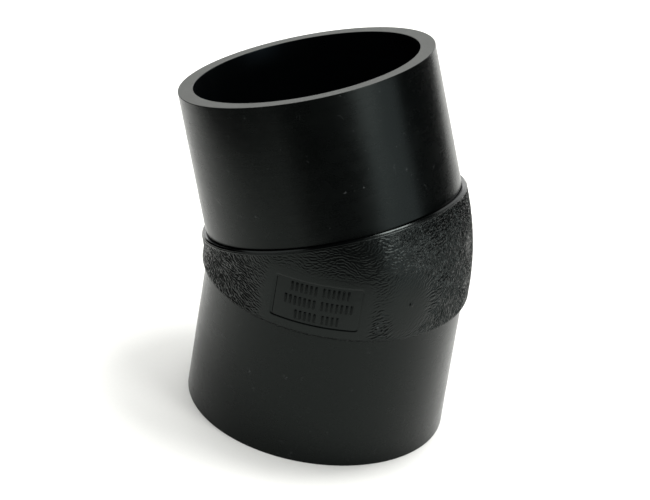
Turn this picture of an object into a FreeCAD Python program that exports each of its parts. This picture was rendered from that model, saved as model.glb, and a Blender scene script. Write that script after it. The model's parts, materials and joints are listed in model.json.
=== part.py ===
"""22.5 degree long-spigot elbow for butt fusion, dn 160, SDR 17, in black polyethylene.

Frame: the origin is the centre of the lower end face, +Z runs up the lower spigot's axis, and the bend
lies in the XZ plane, with the upper spigot leaning towards -X. Sizes are in millimetres.
The elbow is one moulding. Its regions are separate solids that meet face to face: two plain spigots, the
pipe wall through the bend, the raised band around it, and the band's marking panel, marks and gate pip.
"""

import FreeCAD, Part
import math
import os

from FreeCAD import Vector

# Pipe section, to the metric polyethylene pipe series.
PIPE_RADIUS = 80.0
WALL = 9.5
BORE_RADIUS = PIPE_RADIUS - WALL

# The bend: an arc of the centre line, with a short straight collar before and after it.
BEND_DEGREES = 22.5
BEND_RADIUS = 85.0
COLLAR = 6.0
SPIGOT_LENGTH = 90.0

# The band stands proud of the pipe, with sloping shoulders. Its solid reaches into the pipe wall, down to
# the bend core, so that no piece is paper-thin.
BAND_RADIUS = PIPE_RADIUS + 3.0
CORE_RADIUS = PIPE_RADIUS - 4.0
SHOULDER_CHAMFER = 1.3

# The marking panel: a shallow pocket in the band, square to the lower spigot, and centred on a direction
# given as a turn about the Z axis, from +X.
PANEL_TURN = -66.2
PANEL_WIDTH = 54.0
PANEL_HEIGHT = 27.0
PANEL_LOW = SPIGOT_LENGTH + 8.0
PANEL_CORNER = 1.5
PANEL_RECESS = 0.35
PANEL_THICKNESS = 2.0
POCKET_CLEARANCE = 1.0

# The marks: level rows of plain upright ticks. Each row, from the lowest up, is two groups of ticks, with
# a wider gap between the groups.
TICK_WIDTH = 1.5
TICK_HEIGHT = 5.8
TICK_RISE = 0.6
TICK_PITCH = 3.0
GROUP_GAP = 2.0
ROWS = ((5, 4), (7, 7), (6, 6))
ROW_PITCH = 9.0

# The gate pip: a small round dot on the band.
GATE_TURN = -25.0
GATE_HEIGHT = SPIGOT_LENGTH + 24.0
GATE_RADIUS = 1.2
GATE_RISE = 0.5

BEND_BASE = SPIGOT_LENGTH + COLLAR
BEND_CENTRE = Vector(-BEND_RADIUS, 0, BEND_BASE)
BEND_AXIS = Vector(0, -1, 0)
UP = Vector(0, 0, 1)
PANEL_RADIUS = BAND_RADIUS - PANEL_RECESS


def swung(shape):
    """The shape turned about the bend's centre by the whole bend, from the lower axis to the upper one."""
    turned = shape.copy()
    turned.rotate(BEND_CENTRE, BEND_AXIS, BEND_DEGREES)
    return turned


def ring(outer, inner, low, high):
    """A straight tube about the Z axis, from one height to another."""
    base = Vector(0, 0, low)
    length = high - low
    return Part.makeCylinder(outer, length, base).cut(Part.makeCylinder(inner, length, base))


def bend_tube(outer, inner):
    """A tube that follows the bend, from the foot of the lower collar to the top of the upper one."""
    circles = [Part.makeCircle(radius, Vector(0, 0, BEND_BASE), UP) for radius in (outer, inner)]
    section = Part.makeFace([Part.Wire(circle) for circle in circles], "Part::FaceMakerBullseye")
    arc = section.revolve(BEND_CENTRE, BEND_AXIS, BEND_DEGREES)
    foot = ring(outer, inner, SPIGOT_LENGTH, BEND_BASE)
    top = swung(ring(outer, inner, BEND_BASE, BEND_BASE + COLLAR))
    return foot.fuse([arc, top]).removeSplitter()


def flipped(shape):
    """The same shape at the other end: mirrored in the plane through the middle of the bend."""
    half = math.radians(BEND_DEGREES / 2)
    return shape.mirror(BEND_CENTRE, Vector(math.sin(half), 0, -math.cos(half)))


def sloping_shoulders(band):
    """The band with its two outer rims chamfered."""
    rims = []
    for edge in band.Edges:
        round_rim = isinstance(edge.Curve, Part.Circle) and abs(edge.Curve.Radius - BAND_RADIUS) < 1e-4
        if round_rim and not edge_is_inside(edge):
            rims.append(edge)
    return band.makeChamfer(SHOULDER_CHAMFER, rims)


def edge_is_inside(edge):
    """True for the seam circles between a collar and the arc, which are tangent and stay as they are."""
    to_lower_end = abs(edge.Curve.Center.z - SPIGOT_LENGTH)
    upper_end = swung(Part.Vertex(Vector(0, 0, BEND_BASE + COLLAR))).Point
    to_upper_end = edge.Curve.Center.distanceToPoint(upper_end)
    return min(to_lower_end, to_upper_end) > 1e-3


def radial_block(width, height, turn, offset, low):
    """A block that crosses the band's skin outwards, at a turn about the Z axis and a sideways offset."""
    near = CORE_RADIUS / 2
    block = Part.makeBox(BAND_RADIUS, width, height, Vector(near, offset - width / 2, low))
    block.rotate(Vector(0, 0, 0), UP, turn)
    return block


def rounded_block(width, height, corner, turn, low):
    """A radial block whose four long edges are rounded."""
    block = radial_block(width, height, 0, 0, low)
    long_edges = [edge for edge in block.Edges if abs(edge.tangentAt(edge.FirstParameter).x) > 0.99]
    block = block.makeFillet(corner, long_edges)
    block.rotate(Vector(0, 0, 0), UP, turn)
    return block


def tick_offsets(first_group, second_group):
    """The sideways places of one row's ticks, centred on the panel."""
    places = []
    for tick in range(first_group + second_group):
        gap = GROUP_GAP if tick >= first_group else 0
        places.append(tick * TICK_PITCH + gap)
    middle = places[-1] / 2
    return [place - middle for place in places]


def marking_ticks():
    """Every raised tick on the panel, as separate solids in one compound."""
    skin = bend_tube(PANEL_RADIUS + TICK_RISE, PANEL_RADIUS)
    middle_row = PANEL_LOW + PANEL_HEIGHT / 2
    ticks = []
    for row, groups in enumerate(ROWS):
        low = middle_row + (row - 1) * ROW_PITCH - TICK_HEIGHT / 2
        for offset in tick_offsets(*groups):
            ticks.append(skin.common(radial_block(TICK_WIDTH, TICK_HEIGHT, PANEL_TURN, offset, low)))
    return Part.makeCompound([solid for tick in ticks for solid in tick.Solids])


def gate_pip():
    """A short round stub on the band's surface."""
    inner_end = Vector(CORE_RADIUS / 2, 0, GATE_HEIGHT)
    stub = Part.makeCylinder(GATE_RADIUS, BAND_RADIUS, inner_end, Vector(1, 0, 0))
    stub.rotate(Vector(0, 0, 0), UP, GATE_TURN)
    return bend_tube(BAND_RADIUS + GATE_RISE, BAND_RADIUS).common(stub)


def export(name, shape):
    """Writes one node, after checking it, and prints its size."""
    assert shape.isValid(), name
    shape.exportStep(os.path.join("parts", name + ".step"))
    print(f"{name}: {len(shape.Solids)} solids, {shape.Volume:.0f} mm3")


def main():
    os.makedirs("parts", exist_ok=True)
    spigot = ring(PIPE_RADIUS, BORE_RADIUS, 0, SPIGOT_LENGTH)
    panel = rounded_block(PANEL_WIDTH, PANEL_HEIGHT, PANEL_CORNER, PANEL_TURN, PANEL_LOW)
    panel_floor = PANEL_RADIUS - PANEL_THICKNESS
    pocket = bend_tube(BAND_RADIUS + POCKET_CLEARANCE, panel_floor).common(panel)
    band = sloping_shoulders(bend_tube(BAND_RADIUS, CORE_RADIUS))
    export("lower_spigot", spigot)
    export("upper_spigot", flipped(spigot))
    export("bend_core", bend_tube(CORE_RADIUS, BORE_RADIUS))
    export("grained_band", band.cut(pocket))
    export("marking_plaque", bend_tube(PANEL_RADIUS, panel_floor).common(panel))
    export("marking_bars", marking_ticks())
    export("gate_mark", gate_pip())


main()
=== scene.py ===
"""The looks of a 22.5 degree spigot elbow in black polyethylene: turned pipe ends and a grained band.

Every skin is built in the elbow's own coordinates: a station along its centre line, a turn about that
line, measured from the outside of the bend, and a radius. Lengths are in metres, unless a name says mm.
"""

import json
import math

import bmesh
import bpy
import numpy as np
from mathutils import Matrix, Vector

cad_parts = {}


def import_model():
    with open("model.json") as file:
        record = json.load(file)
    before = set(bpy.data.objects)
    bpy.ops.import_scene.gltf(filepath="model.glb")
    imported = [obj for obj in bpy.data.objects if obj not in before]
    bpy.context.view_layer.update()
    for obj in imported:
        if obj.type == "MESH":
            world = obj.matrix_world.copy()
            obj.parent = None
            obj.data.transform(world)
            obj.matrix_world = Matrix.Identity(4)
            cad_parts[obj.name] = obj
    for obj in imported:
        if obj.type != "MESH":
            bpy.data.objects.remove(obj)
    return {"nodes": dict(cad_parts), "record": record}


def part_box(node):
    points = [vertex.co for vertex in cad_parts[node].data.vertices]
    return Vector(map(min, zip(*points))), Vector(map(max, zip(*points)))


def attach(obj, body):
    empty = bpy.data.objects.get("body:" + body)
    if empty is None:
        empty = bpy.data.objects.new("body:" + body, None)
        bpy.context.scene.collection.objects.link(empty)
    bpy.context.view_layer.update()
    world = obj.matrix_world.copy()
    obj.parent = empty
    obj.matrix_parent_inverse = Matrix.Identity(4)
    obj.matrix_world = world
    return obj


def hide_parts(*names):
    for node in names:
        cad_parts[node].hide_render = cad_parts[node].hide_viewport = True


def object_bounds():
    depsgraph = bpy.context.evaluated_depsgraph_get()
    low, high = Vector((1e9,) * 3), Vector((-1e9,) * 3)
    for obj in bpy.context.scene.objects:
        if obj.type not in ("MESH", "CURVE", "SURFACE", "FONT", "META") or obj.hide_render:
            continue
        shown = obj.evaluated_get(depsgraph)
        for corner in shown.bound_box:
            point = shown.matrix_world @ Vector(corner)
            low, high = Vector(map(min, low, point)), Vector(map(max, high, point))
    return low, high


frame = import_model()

CAD_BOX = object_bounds()
MM = 0.001

# The elbow's dimensions, read from the frame.
MOUNTS = {mount["name"]: mount for mount in frame["record"]["mounts"]}
PIPE = MOUNTS["lower_spigot_od"]["dims"]["r_mm"] * MM
SPIGOT = MOUNTS["lower_spigot_od"]["dims"]["length_mm"] * MM
BORE = MOUNTS["lower_bore"]["dims"]["r_mm"] * MM
BEND_START = MOUNTS["lower_bore"]["dims"]["length_mm"] * MM
UPPER_AXIS = Vector(MOUNTS["upper_bore"]["axis"])
UPPER_END = Vector(MOUNTS["upper_bore"]["pos_m"])
BEND = math.acos(UPPER_AXIS.z)
BEND_RADIUS = (UPPER_END.z - BEND_START * (1 + UPPER_AXIS.z)) / math.sin(BEND)
BEND_END = BEND_START + BEND_RADIUS * BEND
COLLAR = BEND_START - SPIGOT
BAND_START = SPIGOT
BAND_END = BEND_END + COLLAR
LAST_STATION = BEND_END + BEND_START
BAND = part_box("grained_band")[1].y
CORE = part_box("bend_core")[1].y

# The marking panel. Its turn and its heights come from the frame, and so do the gate pip's.
PANEL_WIDTH = 54 * MM
PANEL_CORNER = 1.5 * MM
PANEL_RECESS = 0.35 * MM
PANEL_THICKNESS = 2.0 * MM

# The skins of the pipe ends and the bore: columns round a ring, and rows along it. Faces that meet at more
# than the sharp angle keep a hard edge.
SEGMENTS = 320
PIPE_ROW = 5 * MM
BORE_ROW = 2.5 * MM
SHARP_ANGLE = math.radians(40)

# A pipe end's rims are rounded, and its sides have a point 1.5 radii from each rim, to keep them straight. A
# narrow undercut runs round it where it meets the band.
END_ROUND = 0.4 * MM
ROUND_STEPS = 5
STRAIGHT_FROM = 1.5
UNDERCUT_DEPTH = 0.5 * MM
UNDERCUT_WIDTH = 0.5 * MM
UNDERCUT_START = 1.4 * UNDERCUT_WIDTH

# The finishes of a pipe end, in the order of its material slots, and how near to a face counts as on it.
TURNED, CUT, BORE_WALL = range(3)
ON_FACE = 0.1 * MM

# The marks and the gate pip, with their edges rounded.
TICK_BEVEL = 0.42 * MM
BEVEL_STEPS = 3
FLAT_ANGLE = math.radians(12)
MARK_SHARP_ANGLE = math.radians(50)
WELD = 0.001 * MM

# The band's shoulder: how far each point of its slope lies from the band's edge, and below its skin. A fine
# groove runs along its top. The grained skin starts a little further in.
SHOULDER_MM = ((0, 1.3), (0.06, 1.23), (0.12, 1.16), (0.6, 0.7), (1.0, 0.36), (1.14, 0.28), (1.3, 0.4),
               (1.5, 0.4), (1.7, 0.12), (1.8, 0.03))
SKIN_EDGE = 1.95 * MM

# The band's rows on each collar, on the bend and inside, and how far below the pipe's skin one more row lies
# at each shoulder's foot.
COLLAR_ROWS = 14
BEND_ROWS = 160
INNER_ROWS = 12
SHOULDER_FOOT = 1 * MM

# The band's parts: the turns where each starts and ends, in degrees, its columns, and which rows of the skin
# it keeps (1 for every row, 2 for every second row).
BAND_PARTS = (("left", -135, -45, 400, 1), ("right", -45, 45, 400, 1), ("back", 45, 225, 540, 2))

# The grain's noise: its cells, and its ridges' spacing and length. A larger sharpness evens the spacing. The
# ridges are level at one turn, lean further with each turn away from it, and swirl at random besides.
SEED = 22
GRAIN_STEP_MM = 0.25
GRAIN_ROWS = 400
GRAIN_PERIOD_MM = 2.0
GRAIN_LENGTH_MM = 2.8
GRAIN_SHARPNESS = 1.3
GRAIN_DIRECTIONS = 16
GRAIN_LEVEL_TURN = math.radians(-61)
SWIRL = math.radians(18)
SWIRL_SIZE_MM = 15
PATCH_SIZE_MM = 8

# The grain's strength, from 0 to 1. It is low in the middle of the band, round the marking panel, round the
# gate pip and at the band's edges. The left side and scattered patches lose up to twice their loss. A fan of
# stronger grain stands to the right of the panel. Each reach says where a smooth step starts and ends.
GRAIN_DEPTH = 0.74 * MM
PATCH_LOSS = 0.16
MIDDLE_STRENGTH = 0.2
MIDDLE_REACH = (math.radians(18), math.radians(50))
LEFT_LOSS = 0.15
FAN_TURN = math.radians(-38)
FAN_HEIGHT = 12 * MM
FAN_STRENGTH = 0.8
FAN_REACH = (5 * MM, 15 * MM)
PANEL_STRENGTH = 0.08
PANEL_REACH = (-12 * MM, -3 * MM)
GATE_STRENGTH = 0.12
GATE_REACH = (8 * MM, 26 * MM)
GATE_STRETCH = 1.3
EDGE_REACH = (1.9 * MM, 2.8 * MM)

# The pocket in the band that the plaque fills: it sinks just below the plaque's face, and then to its back.
# Points on the other side of the elbow count as far outside the panel.
FAR_OUTSIDE = -1
POCKET_REACH = (-1.0 * MM, 0.4 * MM)
POCKET_SINK = 0.06 * MM
SEAT_REACH = (0.9 * MM, 1.6 * MM)


def place(station, turn, radius):
    """Points from stations, turns and radii, which are arrays or numbers."""
    bent = np.clip((station - BEND_START) / BEND_RADIUS, 0, BEND)
    before = np.minimum(station - BEND_START, 0)
    after = np.maximum(station - BEND_END, 0)
    reach = BEND_RADIUS + radius * np.cos(turn)
    x = reach * np.cos(bent) - BEND_RADIUS - after * np.sin(bent)
    y = radius * np.sin(turn)
    z = BEND_START + before + reach * np.sin(bent) + after * np.cos(bent)
    return np.stack(np.broadcast_arrays(x, y, z), -1)


def smooth(low, high, value):
    """A smooth step from 0 at low to 1 at high."""
    t = np.clip((value - low) / (high - low), 0, 1)
    return t * t * (3 - 2 * t)


# ---------------------------------------------------------------- meshes

def make_piece(name, points, faces, values):
    """A smooth mesh object. values holds the numbers at each point that its material reads."""
    mesh = bpy.data.meshes.new(name)
    mesh.from_pydata(points.reshape(-1, 3).tolist(), [], faces)
    for key, numbers in values.items():
        mesh.attributes.new(key, "FLOAT", "POINT").data.foreach_set("value", np.ravel(numbers))
    mesh.shade_smooth()
    return link(bpy.data.objects.new(name, mesh))


def link(thing):
    """Puts an object in the scene, and returns it."""
    bpy.context.scene.collection.objects.link(thing)
    return thing


def grid_faces(rows, columns, closed):
    """The quads of a grid whose rows close on themselves. Its columns do too, if closed is true.

    They face outwards if the rows run up the elbow's outside, and the columns to larger turns.
    """
    index = np.arange(rows * columns).reshape(rows, columns)
    right = np.roll(index, -1, axis=1)
    quads = np.stack([index, right, np.roll(right, -1, axis=0), np.roll(index, -1, axis=0)], -1)
    if not closed:
        quads = quads[:, :-1]
    return quads.reshape(-1, 4).tolist()


def rounded(corners, radii):
    """A closed outline with its right-angled corners rounded. The sides stay straight beside a corner."""
    outline = []
    for i, (corner, radius) in enumerate(zip(corners, radii)):
        here = Vector(corner)
        if not radius:
            outline.append(here)
            continue
        back = (Vector(corners[i - 1]) - here).normalized() * radius
        ahead = (Vector(corners[(i + 1) % len(corners)]) - here).normalized() * radius
        outline.append(here + back * STRAIGHT_FROM)
        for step in range(ROUND_STEPS + 1):
            angle = step / ROUND_STEPS * math.pi / 2
            outline.append(here + back * (1 - math.sin(angle)) + ahead * (1 - math.cos(angle)))
        outline.append(here + ahead * STRAIGHT_FROM)
    return outline


def with_rows(outline, spacing):
    """The outline as an array, with its long sides divided."""
    result = []
    for i, point in enumerate(outline):
        ahead = outline[(i + 1) % len(outline)]
        count = max(1, round((ahead - point).length / spacing))
        result += [point.lerp(ahead, step / count) for step in range(count)]
    return np.array(result)


def ring(name, outline):
    """A closed ring that follows the centre line, from an outline of stations and radii."""
    turns = np.linspace(-math.pi, math.pi, SEGMENTS, endpoint=False)[None, :]
    stations, radii = (np.repeat(outline[:, i:i + 1], SEGMENTS, axis=1) for i in (0, 1))
    faces = grid_faces(len(outline), SEGMENTS, True)
    return make_piece(name, place(stations, turns, radii), faces, {"station": stations, "radius": radii})


def finish_piece(piece, node, materials):
    for material in materials:
        piece.data.materials.append(material)
    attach(piece, "root")
    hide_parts(node)


# ---------------------------------------------------------------- pipe ends and bore

def pipe_ends(finishes):
    """The two turned pipe ends. Each has a narrow undercut where it meets the band."""
    bottom = PIPE - UNDERCUT_DEPTH
    corners = [(0, BORE), (0, PIPE), (SPIGOT - UNDERCUT_START, PIPE), (SPIGOT - UNDERCUT_WIDTH, bottom),
               (SPIGOT, bottom), (SPIGOT, BORE)]
    outline = with_rows(rounded(corners, (END_ROUND, END_ROUND, 0, 0, 0, 0)), PIPE_ROW)
    flipped = np.column_stack([LAST_STATION - outline[:, 0], outline[:, 1]])[::-1]
    for node, points in (("lower_spigot", outline), ("upper_spigot", flipped)):
        piece = ring(node + "_skin", points)
        piece.data.set_sharp_from_angle(angle=SHARP_ANGLE)
        finish_piece(piece, node, finishes)
        assign_end_finishes(piece)


def assign_end_finishes(piece):
    """Turned outside, cut end face and moulded bore, told apart by each face's station and radius."""
    mesh = piece.data
    stations, radii = (mesh.attributes[key].data for key in ("station", "radius"))
    for face in mesh.polygons:
        corners = len(face.vertices)
        station = sum(stations[i].value for i in face.vertices) / corners
        radius = sum(radii[i].value for i in face.vertices) / corners
        from_end = min(station, LAST_STATION - station)
        face.material_index = TURNED
        if radius < BORE + ON_FACE:
            face.material_index = BORE_WALL
        elif from_end < ON_FACE:
            face.material_index = CUT


def bend_core(finish):
    """The smooth wall of the bore through the bend."""
    corners = [(BAND_START, BORE), (BAND_START, CORE), (BAND_END, CORE), (BAND_END, BORE)]
    outline = with_rows([Vector(corner) for corner in corners], BORE_ROW)
    piece = ring("bend_core_skin", outline)
    piece.data.set_sharp_from_angle(angle=SHARP_ANGLE)
    finish_piece(piece, "bend_core", [finish])


# ---------------------------------------------------------------- the grained band

class Grain:
    """Leather-like grain over the unrolled band, periodic round the elbow, in millimetres.

    It starts as noise, filtered into sheets of ridges that each run in one direction. Every place then takes
    the sheet of the direction that the grain has there.
    """

    def __init__(self, seed):
        self.random = np.random.default_rng(seed)
        self.round_mm = 2 * math.pi * BAND / MM
        self.shape = (GRAIN_ROWS, round(self.round_mm / GRAIN_STEP_MM / 2) * 2)
        self.step_x = self.round_mm / self.shape[1]
        self.across = np.fft.rfftfreq(self.shape[1], self.step_x)[None, :]
        self.up = np.fft.fftfreq(self.shape[0], GRAIN_STEP_MM)[:, None]
        self.swirl = self.blotches(SWIRL_SIZE_MM)
        self.patches = self.blotches(PATCH_SIZE_MM)
        self.height = self.ridges()

    def noise(self):
        """The spectrum of white noise."""
        return np.fft.rfft2(self.random.standard_normal(self.shape))

    def field(self, spectrum):
        """The field of a spectrum, scaled to a standard deviation of 1."""
        made = np.fft.irfft2(spectrum, self.shape)
        return made / made.std()

    def blotches(self, size):
        """Broad soft noise, with features of about one size."""
        return self.field(self.noise() * np.exp(-2 * (self.across ** 2 + self.up ** 2) * size ** 2))

    def ridges(self):
        """The grain's heights, from -1 to 1."""
        turn = np.linspace(-math.pi, math.pi, self.shape[1], endpoint=False)[None, :]
        direction = turn - GRAIN_LEVEL_TURN + self.swirl * SWIRL
        sheet = direction / math.pi * GRAIN_DIRECTIONS % GRAIN_DIRECTIONS
        noise = self.noise()
        total = np.zeros(self.shape)
        for k in range(GRAIN_DIRECTIONS):
            away = np.abs((sheet - k + GRAIN_DIRECTIONS / 2) % GRAIN_DIRECTIONS - GRAIN_DIRECTIONS / 2)
            angle = math.pi * k / GRAIN_DIRECTIONS
            along = self.across * math.cos(angle) + self.up * math.sin(angle)
            sideways = self.up * math.cos(angle) - self.across * math.sin(angle)
            tuned = np.exp(-((np.abs(sideways) * GRAIN_PERIOD_MM - 1) * GRAIN_SHARPNESS) ** 2)
            layer = self.field(noise * tuned * np.exp(-((along * GRAIN_LENGTH_MM) ** 2)))
            total += layer * np.maximum(1 - away, 0)
        return np.tanh(total)

    def sample(self, field, turn, up):
        """A field's values at turns, and at heights in metres above the middle of the band."""
        x = (turn + math.pi) * BAND / MM / self.step_x
        y = up / MM / GRAIN_STEP_MM + self.shape[0] / 2
        x0, y0 = np.floor(x).astype(int), np.floor(y).astype(int)
        corners = [field[(y0 + j) % self.shape[0], (x0 + i) % self.shape[1]] for j in (0, 1) for i in (0, 1)]
        low = corners[0] + (corners[1] - corners[0]) * (x - x0)
        high = corners[2] + (corners[3] - corners[2]) * (x - x0)
        return low + (high - low) * (y - y0)


def middle_of(node):
    """The middle of a CAD node's box, and its turn about Z."""
    low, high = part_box(node)
    middle = (low + high) / 2
    points = np.array([vertex.co for vertex in frame["nodes"][node].data.vertices])
    return middle, math.atan2(points[:, 1].mean(), points[:, 0].mean())


def inside_panel(points):
    """How far points on the band lie inside the marking panel's outline. Outside it this is negative."""
    middle, turn = middle_of("marking_plaque")
    low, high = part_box("marking_plaque")
    outward = points[..., 0] * math.cos(turn) + points[..., 1] * math.sin(turn)
    sideways = points[..., 1] * math.cos(turn) - points[..., 0] * math.sin(turn)
    beyond_x = np.abs(sideways) - PANEL_WIDTH / 2 + PANEL_CORNER
    beyond_z = np.abs(points[..., 2] - middle.z) - (high.z - low.z) / 2 + PANEL_CORNER
    outside = np.hypot(np.maximum(beyond_x, 0), np.maximum(beyond_z, 0))
    inside = PANEL_CORNER - outside - np.minimum(np.maximum(beyond_x, beyond_z), 0)
    return np.where(outward > 0, inside, FAR_OUTSIDE)


def grain_strength(grain, turn, up, edge, inside, points):
    """How strong the grain is at points on the band, from 0 to 1.

    up is the height above the band's middle, edge the way to its nearer edge, and inside the way into the
    panel.
    """
    patches = 1 - PATCH_LOSS + PATCH_LOSS * np.tanh(grain.sample(grain.patches, turn, up))
    away = (turn - GRAIN_LEVEL_TURN + math.pi) % (2 * math.pi) - math.pi
    sides = smooth(*MIDDLE_REACH, np.abs(away)) * (1 - LEFT_LOSS + LEFT_LOSS * np.sin(away))
    from_fan = np.hypot((turn - FAN_TURN) * BAND, points[..., 2] - BAND_START - FAN_HEIGHT)
    sides = np.maximum(sides, FAN_STRENGTH * (1 - smooth(*FAN_REACH, from_fan)))
    gate, gate_turn = middle_of("gate_mark")
    from_gate = np.hypot((turn - gate_turn) * BAND, (points[..., 2] - gate.z) / GATE_STRETCH)
    strength = patches * (MIDDLE_STRENGTH + (1 - MIDDLE_STRENGTH) * sides)
    strength = strength * (1 - (1 - PANEL_STRENGTH) * smooth(*PANEL_REACH, inside))
    strength = strength * (GATE_STRENGTH + (1 - GATE_STRENGTH) * smooth(*GATE_REACH, from_gate))
    return strength * smooth(*EDGE_REACH, edge)


def skin_relief(grain, station, turn):
    """How far the band's skin lies below its full radius, and how strong its grain is, from 0 to 1."""
    stretch = 1 + BAND / BEND_RADIUS * np.cos(turn)
    length = (BEND_END - BEND_START) * stretch + 2 * COLLAR
    collars = np.minimum(station - BAND_START, COLLAR) + np.maximum(station - BEND_END, 0)
    height = collars + np.clip(station - BEND_START, 0, BEND_END - BEND_START) * stretch
    up = height - length / 2
    points = place(station, turn, BAND)
    inside = inside_panel(points)
    strength = grain_strength(grain, turn, up, np.minimum(height, length - height), inside, points)
    valleys = (1 - grain.sample(grain.height, turn, up)) / 2
    pocket = (PANEL_RECESS + POCKET_SINK) * smooth(*POCKET_REACH, inside)
    seat = PANEL_THICKNESS * smooth(*SEAT_REACH, inside)
    return GRAIN_DEPTH * strength * valleys + pocket + seat, strength


def band_outline(rows_apart):
    """The band's section as stations and radii, and a list that is true for the rows of its outer skin."""
    lower_collar = BAND_START + np.linspace(SKIN_EDGE, COLLAR, COLLAR_ROWS, endpoint=False)
    bend = np.linspace(BEND_START, BEND_END, BEND_ROWS + 1)
    upper_collar = (BAND_START + BAND_END) - lower_collar[::-1]
    skin = np.concatenate([lower_collar, bend, upper_collar])[::rows_apart]
    lower = [(BAND_START, radius) for radius in (CORE, PIPE - SHOULDER_FOOT, PIPE)]
    lower += [(BAND_START + away * MM, BAND - below * MM) for away, below in SHOULDER_MM]
    upper = [(BAND_START + BAND_END - station, radius) for station, radius in lower[::-1]]
    inner = [(station, CORE) for station in np.linspace(BAND_END, BAND_START, INNER_ROWS)[1:-1]]
    outline = np.array(lower + [(station, BAND) for station in skin] + upper + inner)
    on_skin = np.zeros(len(outline), bool)
    on_skin[len(lower):len(lower) + len(skin)] = True
    return outline, on_skin


def grid_normals(points):
    """Outward unit normals of a grid whose rows close on themselves."""
    along = np.roll(points, -1, axis=0) - np.roll(points, 1, axis=0)
    around = np.gradient(points, axis=1)
    normals = np.cross(around, along)
    return normals / np.linalg.norm(normals, axis=-1, keepdims=True)


def band_part(grain, name, first_turn, last_turn, columns, rows_apart, finish):
    """The part of the grained band between two turns, which are in degrees."""
    outline, on_skin = band_outline(rows_apart)
    step = (last_turn - first_turn) / columns
    turns = np.radians(first_turn + step * np.arange(-1, columns + 2))
    stations, turns = np.meshgrid(outline[:, 0], turns, indexing="ij")
    depth, strength = skin_relief(grain, stations, turns)
    radii = outline[:, 1:] - depth * on_skin[:, None]
    points = place(stations, turns, radii)
    normals = grid_normals(points)[:, 1:-1]
    points = points[:, 1:-1]
    rows, columns = points.shape[:2]
    faces = grid_faces(rows, columns, False)
    faces.append([row * columns for row in range(rows)])
    faces.append([row * columns + columns - 1 for row in reversed(range(rows))])
    # The depth also sets how dark the skin's colour is painted, as shade in its creases.
    values = {"strength": (strength * on_skin[:, None])[:, 1:-1], "depth": (BAND - radii[:, 1:-1]) / MM}
    piece = make_piece("grained_band_" + name, points, faces, values)
    piece.data.normals_split_custom_set_from_vertices(normals.reshape(-1, 3).tolist())
    finish_piece(piece, "grained_band", [finish])


# ---------------------------------------------------------------- trim on the band

def softened(node, finish):
    """A CAD node's shape with its outer edges rounded."""
    build = bmesh.new()
    build.from_mesh(frame["nodes"][node].data)
    bmesh.ops.remove_doubles(build, verts=build.verts, dist=WELD)
    bmesh.ops.dissolve_limit(build, angle_limit=FLAT_ANGLE, verts=build.verts, edges=build.edges)
    sharp = [edge for edge in build.edges if edge.is_manifold and edge.calc_face_angle() > SHARP_ANGLE]
    bmesh.ops.bevel(build, geom=sharp, offset=TICK_BEVEL, segments=BEVEL_STEPS, profile=0.5, affect="EDGES",
                    clamp_overlap=True)
    bmesh.ops.triangulate(build, faces=build.faces)
    mesh = bpy.data.meshes.new(node + "_softened")
    build.to_mesh(mesh)
    build.free()
    mesh.shade_smooth()
    mesh.set_sharp_from_angle(angle=MARK_SHARP_ANGLE)
    piece = link(bpy.data.objects.new(node + "_softened", mesh))
    finish_piece(piece, node, [finish])


# ---------------------------------------------------------------- materials

BLACK = (0.0007, 0.0009, 0.0009)
WORN = (0.0016, 0.0020, 0.0019)
DUST = (0.16, 0.17, 0.17)
BORE_BLACK = (0.0006, 0.0009, 0.0012)
CUT_DARK = (0.038, 0.039, 0.036)
CUT_PALE = (0.084, 0.086, 0.081)
PAPER_DARK = (0.84, 0.84, 0.81)
PAPER_PALE = (0.87, 0.87, 0.84)

# The tints of the gloss, a little green on the skins and blue in the bore: painted colour of the light it
# mirrors.
PAINTED_REFLECTION_TINT = (0.89, 1.0, 0.95, 1)
BORE_PAINTED_REFLECTION_TINT = (0.62, 0.84, 1.0, 1)

# The noise behind the scratches, in cells per millimetre along and across them: the lines themselves, and
# the places that keep them, which end over a narrow range of the noise. A speck is solid out to a share of
# its size.
SCRATCH_LINES = (0.012, 0.35, 0.35)
SCRATCH_PLACES = (0.05, 0.16, 0.16)
SCRATCH_END = 0.02
SPECK_CORE = 0.3


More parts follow.
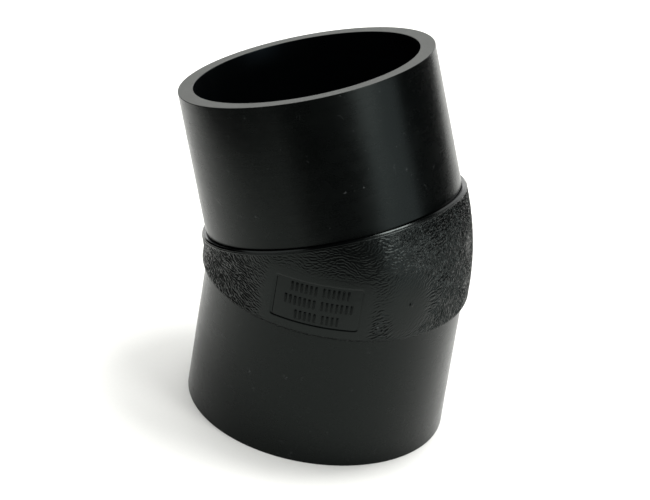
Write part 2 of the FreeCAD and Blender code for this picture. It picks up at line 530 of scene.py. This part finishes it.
class Shading:
    """One procedural material. Its methods add nodes and return their output sockets."""

    def __init__(self, name, specular, tint=PAINTED_REFLECTION_TINT):
        self.material = bpy.data.materials.new(name)
        self.material.use_nodes = True
        self.tree = self.material.node_tree
        self.shader = self.tree.nodes["Principled BSDF"]
        self.shader.inputs["Specular IOR Level"].default_value = specular
        self.shader.inputs["Specular Tint"].default_value = tint
        self.mm = self.vector_maths("SCALE", self.node("TexCoord").outputs["Object"], 1 / MM)

    def node(self, kind, **settings):
        """A new node of a kind, with its settings."""
        made = self.tree.nodes.new("ShaderNode" + kind)
        for key, value in settings.items():
            setattr(made, key, value)
        return made

    def feed(self, socket, value):
        """Links a socket to another's output, or sets its value."""
        if isinstance(value, bpy.types.NodeSocket):
            self.tree.links.new(value, socket)
        else:
            socket.default_value = value

    def maths(self, operation, *values):
        """One calculation on sockets or numbers."""
        made = self.node("Math", operation=operation)
        for socket, value in zip(made.inputs, values):
            self.feed(socket, value)
        return made.outputs[0]

    def vector_maths(self, operation, vector, factor):
        """A vector scaled by a number, or combined with another vector."""
        made = self.node("VectorMath", operation=operation)
        self.feed(made.inputs[0], vector)
        self.feed(made.inputs["Scale"] if operation == "SCALE" else made.inputs[1], factor)
        return made.outputs[0]

    def attribute(self, name):
        """The numbers that the mesh holds under a name."""
        return self.node("Attribute", attribute_name=name).outputs["Fac"]

    def round_and_along(self, around, along):
        """Coordinates that are slow round the pipe and quick along it, in cells per millimetre."""
        parts = self.node("SeparateXYZ")
        self.feed(parts.inputs[0], self.mm)
        made = self.node("CombineXYZ")
        self.feed(made.inputs[0], self.maths("MULTIPLY", parts.outputs[0], around))
        self.feed(made.inputs[1], self.maths("MULTIPLY", parts.outputs[1], around))
        self.feed(made.inputs[2], self.maths("MULTIPLY", self.attribute("station"), along / MM))
        return made.outputs[0]

    def rotated(self, angles, scale):
        """The position in millimetres, turned by angles in degrees and then scaled along each axis."""
        turned = self.node("VectorRotate", rotation_type="EULER_XYZ")
        self.feed(turned.inputs["Vector"], self.mm)
        turned.inputs["Rotation"].default_value = [math.radians(angle) for angle in angles]
        return self.vector_maths("MULTIPLY", turned.outputs[0], scale)

    def noise(self, vector, scale, detail):
        """Soft noise from 0 to 1, in cells per unit of the vector."""
        made = self.node("TexNoise")
        self.feed(made.inputs["Vector"], vector)
        made.inputs["Scale"].default_value = scale
        made.inputs["Detail"].default_value = detail
        return made.outputs[0]

    def ranged(self, value, low, high, to_low=0.0, to_high=1.0):
        """A smooth step from one number at low to another at high."""
        made = self.node("MapRange", interpolation_type="SMOOTHSTEP")
        for socket, number in zip(made.inputs, (value, low, high, to_low, to_high)):
            self.feed(socket, number)
        return made.outputs[0]

    def mixed(self, share, first, second):
        """A colour between two colours."""
        made = self.node("Mix", data_type="RGBA")
        self.feed(made.inputs["Factor"], share)
        self.feed(made.inputs[6], (*first, 1) if isinstance(first, tuple) else first)
        self.feed(made.inputs[7], (*second, 1) if isinstance(second, tuple) else second)
        return made.outputs[2]

    def weighted_sum(self, pairs):
        """The sum of values, each times its weight."""
        total = 0.0
        for value, weight in pairs:
            total = self.maths("ADD", total, self.maths("MULTIPLY", value, weight))
        return total

    def scratches(self, angles, width, amount):
        """Long thin lines, which run one way and are kept in a few places only."""
        lines = self.noise(self.rotated(angles, SCRATCH_LINES), scale=1.0, detail=1.0)
        near = self.maths("ABSOLUTE", self.maths("SUBTRACT", lines, 0.5))
        places = self.noise(self.rotated(angles, SCRATCH_PLACES), scale=1.0, detail=1.0)
        kept = self.ranged(places, 1 - amount, 1 - amount + SCRATCH_END)
        return self.maths("MULTIPLY", self.ranged(near, 0.0, width, 1.0, 0.0), kept)

    def specks(self, spacing, size):
        """A few tiny dots. Spacing and size are in millimetres."""
        made = self.node("TexVoronoi")
        self.feed(made.inputs["Vector"], self.mm)
        made.inputs["Scale"].default_value = 1 / spacing
        return self.ranged(made.outputs["Distance"], SPECK_CORE * size / spacing, size / spacing, 1.0, 0.0)

    def done(self, colour, base, roughness, height):
        """Feeds the shader, and returns the material.

        The roughness is a base and a weighted sum. The bump's height is a weighted sum, in millimetres.
        """
        bump = self.node("Bump")
        bump.inputs["Strength"].default_value = 1.0
        bump.inputs["Distance"].default_value = MM
        self.feed(bump.inputs["Height"], self.weighted_sum(height))
        self.feed(self.shader.inputs["Base Color"], colour)
        self.feed(self.shader.inputs["Roughness"], self.maths("ADD", self.weighted_sum(roughness), base))
        self.feed(self.shader.inputs["Normal"], bump.outputs[0])
        return self.material


def turned_finish():
    """Black polyethylene off a lathe: fine turning lines, a few scratches and specks of dust."""
    s = Shading("turned_polyethylene", specular=0.15)
    fine = s.noise(s.round_and_along(around=0.018, along=2.2), scale=1.0, detail=3.0)
    broad = s.noise(s.round_and_along(around=0.010, along=0.32), scale=1.0, detail=2.0)
    cloud = s.noise(s.mm, scale=0.03, detail=3.0)
    smudges = s.noise(s.mm, scale=0.13, detail=4.0)
    long_lines = s.scratches(angles=(35, 20, 60), width=0.010, amount=0.30)
    short_lines = s.scratches(angles=(-50, 10, 25), width=0.015, amount=0.28)
    scratches = s.maths("MAXIMUM", long_lines, short_lines)
    specks = s.specks(spacing=16.0, size=0.4)
    marks = s.weighted_sum([(scratches, 0.2), (specks, 0.2)])
    return s.done(
        colour=s.mixed(marks, s.mixed(cloud, BLACK, WORN), DUST),
        base=0.12,
        roughness=[(cloud, 0.12), (smudges, 0.10), (fine, 0.04), (broad, 0.04)],
        height=[(fine, 0.004), (broad, 0.02), (smudges, 0.04), (scratches, -0.02), (specks, 0.04)])


def cut_finish():
    """The sawn and faced pipe end: rough, and paler than the skin."""
    s = Shading("faced_polyethylene", specular=0.12)
    grain = s.noise(s.mm, scale=1.6, detail=3.0)
    streaks = s.noise(s.rotated(angles=(0, 22.5, 35), scale=(0.15, 2.5, 2.5)), scale=1.0, detail=2.0)
    cloud = s.noise(s.mm, scale=0.08, detail=2.0)
    return s.done(
        colour=s.mixed(s.weighted_sum([(grain, 0.6), (streaks, 0.6)]), CUT_DARK, CUT_PALE),
        base=0.5,
        roughness=[(grain, 0.12), (cloud, 0.1)],
        height=[(grain, 0.05), (streaks, 0.05)])


def bore_finish():
    """The moulded bore: smooth, with faint flow marks."""
    # The blue tint of the bore's gloss is a painted colour of its reflections.
    s = Shading("moulded_bore_polyethylene", specular=0.26, tint=BORE_PAINTED_REFLECTION_TINT)
    flow = s.noise(s.rotated(angles=(0, 10, 0), scale=(0.05, 0.05, 0.012)), scale=1.0, detail=3.0)
    fine = s.noise(s.mm, scale=1.2, detail=2.0)
    return s.done(
        colour=s.mixed(flow, BORE_BLACK, BLACK),
        base=0.16,
        roughness=[(flow, 0.22), (fine, 0.06)],
        height=[(flow, 0.25), (fine, 0.006)])


def grained_finish():
    """The band's moulded skin: fine pores and wrinkles over the grain, polished shoulders, and painted shade
    in its creases.

    The mesh says how strong the grain is and how deep the skin lies, in millimetres.
    """
    s = Shading("grained_polyethylene", specular=0.18)
    strength = s.attribute("strength")
    depth = s.attribute("depth")
    pores = s.noise(s.mm, scale=1.7, detail=3.0)
    wrinkles = s.noise(s.mm, scale=0.55, detail=3.0)
    cloud = s.noise(s.mm, scale=0.05, detail=2.0)
    # Painted shade: the deeper the skin lies, the darker its colour, in creases, on shoulders and in the
    # pocket.
    crease_shade = s.ranged(depth, 0.0, GRAIN_DEPTH / MM)
    # The grain is never deeper than its strength. The shoulders are, and the pocket behind the plaque.
    shoulder = s.ranged(s.maths("SUBTRACT", depth, strength), 0.4, 0.6)
    grained_pores = s.maths("MULTIPLY", strength, pores)
    grained_wrinkles = s.maths("MULTIPLY", strength, wrinkles)
    return s.done(
        # The colour goes towards black where the skin lies deeper: painted shade. The creases are a little
        # rougher too.
        colour=s.mixed(s.weighted_sum([(cloud, 0.8), (crease_shade, -0.5)]), BLACK, WORN),
        base=0.16,
        roughness=[(cloud, 0.10), (crease_shade, 0.04), (pores, 0.08), (shoulder, -0.14)],
        height=[(pores, 0.02), (grained_pores, 0.06), (grained_wrinkles, 0.22)])


def panel_finish(name, specular):
    """The smooth face of the mould's marking insert, or of the marks on it, which are duller and darker."""
    s = Shading(name, specular)
    fine = s.noise(s.mm, scale=1.5, detail=3.0)
    cloud = s.noise(s.mm, scale=0.09, detail=3.0)
    return s.done(
        colour=s.mixed(cloud, BLACK, WORN),
        base=0.20,
        roughness=[(cloud, 0.14), (fine, 0.06)],
        height=[(fine, 0.012), (cloud, 0.2)])


def floor_finish():
    """Matt white studio paper."""
    s = Shading("studio_paper", specular=0.2)
    fibre = s.noise(s.mm, scale=0.4, detail=3.0)
    return s.done(
        colour=s.mixed(fibre, PAPER_DARK, PAPER_PALE),
        base=0.75,
        roughness=[(s.ranged(fibre, 0.0, 1.0), 0.10)],
        height=[(fibre, 0.02)])


# ---------------------------------------------------------------- studio

# The camera: its direction, tilt and distance, the point it looks past, and how far across and up from that.
CAMERA_AZIMUTH = 29.0
CAMERA_ELEVATION = 28.9
CAMERA_ROLL = math.radians(9.29)
CAMERA_DISTANCE = 3.0
CAMERA_AIM = Vector((-0.020, 0, 0.120))
CAMERA_ACROSS = 5.9 * MM
CAMERA_UP = -19.0 * MM
LENS_MM = 269.5
SENSOR_MM = 36

# The floor's edges, from the object, as the camera sees them.
FLOOR_LEFT = 0.355
FLOOR_RIGHT = 0.6
FLOOR_FRONT = 0.8
FLOOR_BACK = 1.5

# Each softbox's azimuth and elevation in degrees, then its distance, width, height, radiance and colour.
WHITE = (1, 1, 1)
SOFTBOXES = {
    "backdrop": (205, 25, 2.2, 4.5, 2.4, 2.0, WHITE),
    "right_softbox": (94, 6, 1.6, 1.1, 0.9, 1.7, (0.88, 0.97, 1.0)),
    "left_fill": (-68, 36, 1.8, 1.3, 1.1, 1.5, WHITE),
    "key_softbox": (78, 24, 1.7, 0.6, 0.4, 14.0, WHITE),
    "top_softbox": (165, 78, 1.6, 0.5, 0.5, 27.0, WHITE),
}
WORLD_STRENGTH = 0.68


def floor():
    """A sheet of paper, square to the camera. The dark room beyond its edges shows in the pipe's sides."""
    mesh = bpy.data.meshes.new("studio_floor")
    front = direction(CAMERA_AZIMUTH, 0)
    right = Vector((0, 0, 1)).cross(front)
    sides = ((-FLOOR_LEFT, FLOOR_FRONT), (FLOOR_RIGHT, FLOOR_FRONT), (FLOOR_RIGHT, -FLOOR_BACK),
             (-FLOOR_LEFT, -FLOOR_BACK))
    corners = [right * across + front * ahead for across, ahead in sides]
    mesh.from_pydata(corners, [], [(0, 1, 2, 3)])
    mesh.materials.append(floor_finish())
    made = link(bpy.data.objects.new("studio_floor", mesh))


def direction(azimuth, elevation):
    """The unit vector from the object towards a place. Azimuth 0 is at -Y, and 90 at +X, in degrees."""
    a, e = math.radians(azimuth), math.radians(elevation)
    return Vector((math.sin(a) * math.cos(e), -math.cos(a) * math.cos(e), math.sin(e)))


def softbox(name, azimuth, elevation, distance, width, height, radiance, colour):
    """A soft area light that faces the object and doesn't show in the picture."""
    data = bpy.data.lights.new(name, "AREA")
    data.shape = "RECTANGLE"
    data.size, data.size_y = width, height
    data.energy = radiance * math.pi * width * height
    data.color = colour
    made = link(bpy.data.objects.new(name, data))
    aim = (CAD_BOX[0] + CAD_BOX[1]) / 2
    towards = direction(azimuth, elevation)
    made.location = aim + towards * distance
    made.rotation_euler = towards.to_track_quat("Z", "Y").to_euler()
    made.visible_camera = False


def world():
    """Even light on the floor. The black plastic doesn't mirror it."""
    made = bpy.data.worlds.new("studio")
    bpy.context.scene.world = made
    made.use_nodes = True
    background = made.node_tree.nodes["Background"]
    background.inputs["Color"].default_value = (1, 1, 1, 1)
    background.inputs["Strength"].default_value = WORLD_STRENGTH
    made.cycles_visibility.glossy = False


def camera():
    """The camera, which looks down at the elbow from the front right, and leans a little."""
    back = direction(CAMERA_AZIMUTH, CAMERA_ELEVATION)
    level = Vector((0, 0, 1)).cross(back).normalized()
    upright = back.cross(level)
    across = level * math.cos(CAMERA_ROLL) + upright * math.sin(CAMERA_ROLL)
    up = upright * math.cos(CAMERA_ROLL) - level * math.sin(CAMERA_ROLL)
    data = bpy.data.cameras.new("camera")
    data.sensor_width = SENSOR_MM
    data.lens = LENS_MM
    position = CAMERA_AIM + back * CAMERA_DISTANCE + across * CAMERA_ACROSS + up * CAMERA_UP
    made = link(bpy.data.objects.new("camera", data))
    made.matrix_world = Matrix.Translation(position) @ Matrix((across, up, back)).transposed().to_4x4()
    bpy.context.scene.camera = made


def main():
    """Builds the skins, the trim, and the studio round them."""
    turned, cut, bore = turned_finish(), cut_finish(), bore_finish()
    grained = grained_finish()
    panel = panel_finish("panel_polyethylene", specular=0.18)
    marks = panel_finish("mark_polyethylene", specular=0.10)
    pipe_ends([turned, cut, bore])
    bend_core(bore)
    grain = Grain(SEED)
    for part in BAND_PARTS:
        band_part(grain, *part, grained)
    softened("marking_bars", marks)
    softened("gate_mark", panel)
    plaque = frame["nodes"]["marking_plaque"]
    plaque.data.materials.clear()
    plaque.data.materials.append(panel)
    floor()
    for name, settings in SOFTBOXES.items():
        softbox(name, *settings)
    world()
    camera()
    bpy.context.scene.view_settings.view_transform = "Standard"


main()
